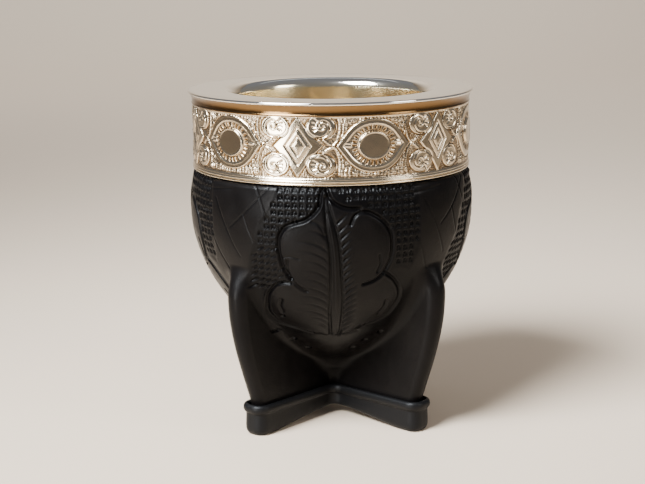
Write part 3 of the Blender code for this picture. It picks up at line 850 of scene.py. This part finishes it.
plate_top = cad_box[1].z
edge, under_roll = PLATE_SHEET / 2, MOUTH_ROLL - SLEEVE_WALL
plate_profile = np.vstack([
    [(SLEEVE_BOTTOM_RADIUS + SLEEVE_WALL, SLEEVE_BOTTOM)],
    rounded(MOUTH_RADIUS + MOUTH_ROLL, plate_top - PLATE_SHEET - under_roll, under_roll,
            180, 90, 10),
    rounded(RIM_RADIUS - edge, plate_top - edge, edge, -90, 90, 12),
    rounded(MOUTH_RADIUS + MOUTH_ROLL, plate_top - MOUTH_ROLL, MOUTH_ROLL, 90, 180, 24),
    [(SLEEVE_BOTTOM_RADIUS, SLEEVE_BOTTOM)]])
plate = skin_rings("rim_plate_polished", turned_rings(plate_profile, PLATE_COLUMNS),
                   closed_loop=True)
depth_down = (plate_top - plate_profile[:, 1]) / MOUTH_ROLL
sleeve = np.where(plate_profile[:, 0] < MOUTH_RADIUS + MOUTH_ROLL, np.clip(depth_down, 0, 1), 0)
record_on(plate, "sleeve", np.repeat(sleeve[:, None], PLATE_COLUMNS, axis=1))
place_piece(plate, polished_silver(), "rim_plate")


# Table, light and camera
# A plain pale table that runs up into the wall behind. Soft lights come from a window at the upper
# left, low from the left on the collar, weakly from the right, and wide on the wall. The camera
# looks down a little on the cup from the front.

FOCAL_LENGTH = 83.72
CAMERA_REACH, CAMERA_HEIGHT = 453.5 * MM, 148.1 * MM
CAMERA_AZIMUTH, CAMERA_YAW = math.radians(-2.8), math.radians(0.36)
CAMERA_PITCH, CAMERA_ROLL = math.radians(11.83), math.radians(-0.6)
TABLE_COLOUR, ROOM_COLOUR, ROOM_STRENGTH = (0.62, 0.50, 0.38), (0.91, 0.93, 1.0), 0.22


def table_finish():
    finish, tree, shader = new_finish("pale_table", 0.0, 0.6)
    shader.inputs["Base Color"].default_value = (*TABLE_COLOUR, 1)
    return finish


def table_top():
    deep, wide, rise, bend = 1.6, 3.0, 1.4, 0.5
    path = [(-0.9, 0.0), (deep - bend, 0.0)]
    for turn in np.radians(np.linspace(0, 90, 17)):
        path.append((deep - bend + bend * math.sin(turn), bend - bend * math.cos(turn)))
    path.append((deep, rise))
    points = [(x, y, z) for y, z in path for x in (-wide / 2, wide / 2)]
    faces = [(2 * i, 2 * i + 1, 2 * i + 3, 2 * i + 2) for i in range(len(path) - 1)]
    mesh = bpy.data.meshes.new("table_top")
    mesh.from_pydata(points, [], faces)
    mesh.shade_smooth()
    table = bpy.data.objects.new("table_top", mesh)
    bpy.context.scene.collection.objects.link(table)
    table.data.materials.append(table_finish())


def room_light():
    """An even dim light from all around."""
    room = bpy.data.worlds.new("room")
    bpy.context.scene.world = room
    room.use_nodes = True
    background = room.node_tree.nodes["Background"]
    background.inputs["Color"].default_value = (*ROOM_COLOUR, 1)
    background.inputs["Strength"].default_value = ROOM_STRENGTH


def soft_light(name, azimuth, elevation, distance, size, power, colour, spread, aim=(0, 0, 0.06)):
    """A square lamp that faces a point from an azimuth and elevation in degrees."""
    lamp = bpy.data.lights.new(name, "AREA")
    lamp.shape, lamp.size, lamp.energy, lamp.color = "SQUARE", size, power, colour
    lamp.spread = math.radians(spread)
    light = bpy.data.objects.new(name, lamp)
    a, e = math.radians(azimuth), math.radians(elevation)
    away = Vector((math.sin(a) * math.cos(e), -math.cos(a) * math.cos(e), math.sin(e)))
    light.location = Vector(aim) + away * distance
    light.rotation_euler = away.to_track_quat("Z", "Y").to_euler()
    bpy.context.scene.collection.objects.link(light)


def cup_camera():
    lens = bpy.data.cameras.new("camera")
    lens.lens, lens.sensor_width = FOCAL_LENGTH, 36
    camera = bpy.data.objects.new("camera", lens)
    heading = CAMERA_AZIMUTH + CAMERA_YAW
    look = Vector((-math.sin(heading) * math.cos(CAMERA_PITCH),
                   math.cos(heading) * math.cos(CAMERA_PITCH), -math.sin(CAMERA_PITCH)))
    level = look.cross(Vector((0, 0, 1))).normalized()
    upright = level.cross(look)
    across = level * math.cos(CAMERA_ROLL) + upright * math.sin(CAMERA_ROLL)
    up = upright * math.cos(CAMERA_ROLL) - level * math.sin(CAMERA_ROLL)
    place = Matrix([across, up, -look]).transposed().to_4x4()
    place.translation = (math.sin(CAMERA_AZIMUTH) * CAMERA_REACH,
                         -math.cos(CAMERA_AZIMUTH) * CAMERA_REACH, CAMERA_HEIGHT)
    camera.matrix_world = place
    bpy.context.scene.collection.objects.link(camera)
    bpy.context.scene.camera = camera


table_top()
soft_light("window", -48, 46, 0.8, 0.40, 4.6, (0.90, 0.95, 1.0), 56)
soft_light("fill", 58, 24, 0.9, 0.30, 0.4, (1.0, 0.97, 0.93), 60)
soft_light("low", -44, 0, 0.42, 0.13, 0.30, (1.0, 0.99, 0.97), 90)
soft_light("wash", 0, 48, 1.0, 1.2, 19, (0.88, 0.94, 1.0), 150, (0, 1.5, 0.45))
room_light()
cup_camera()
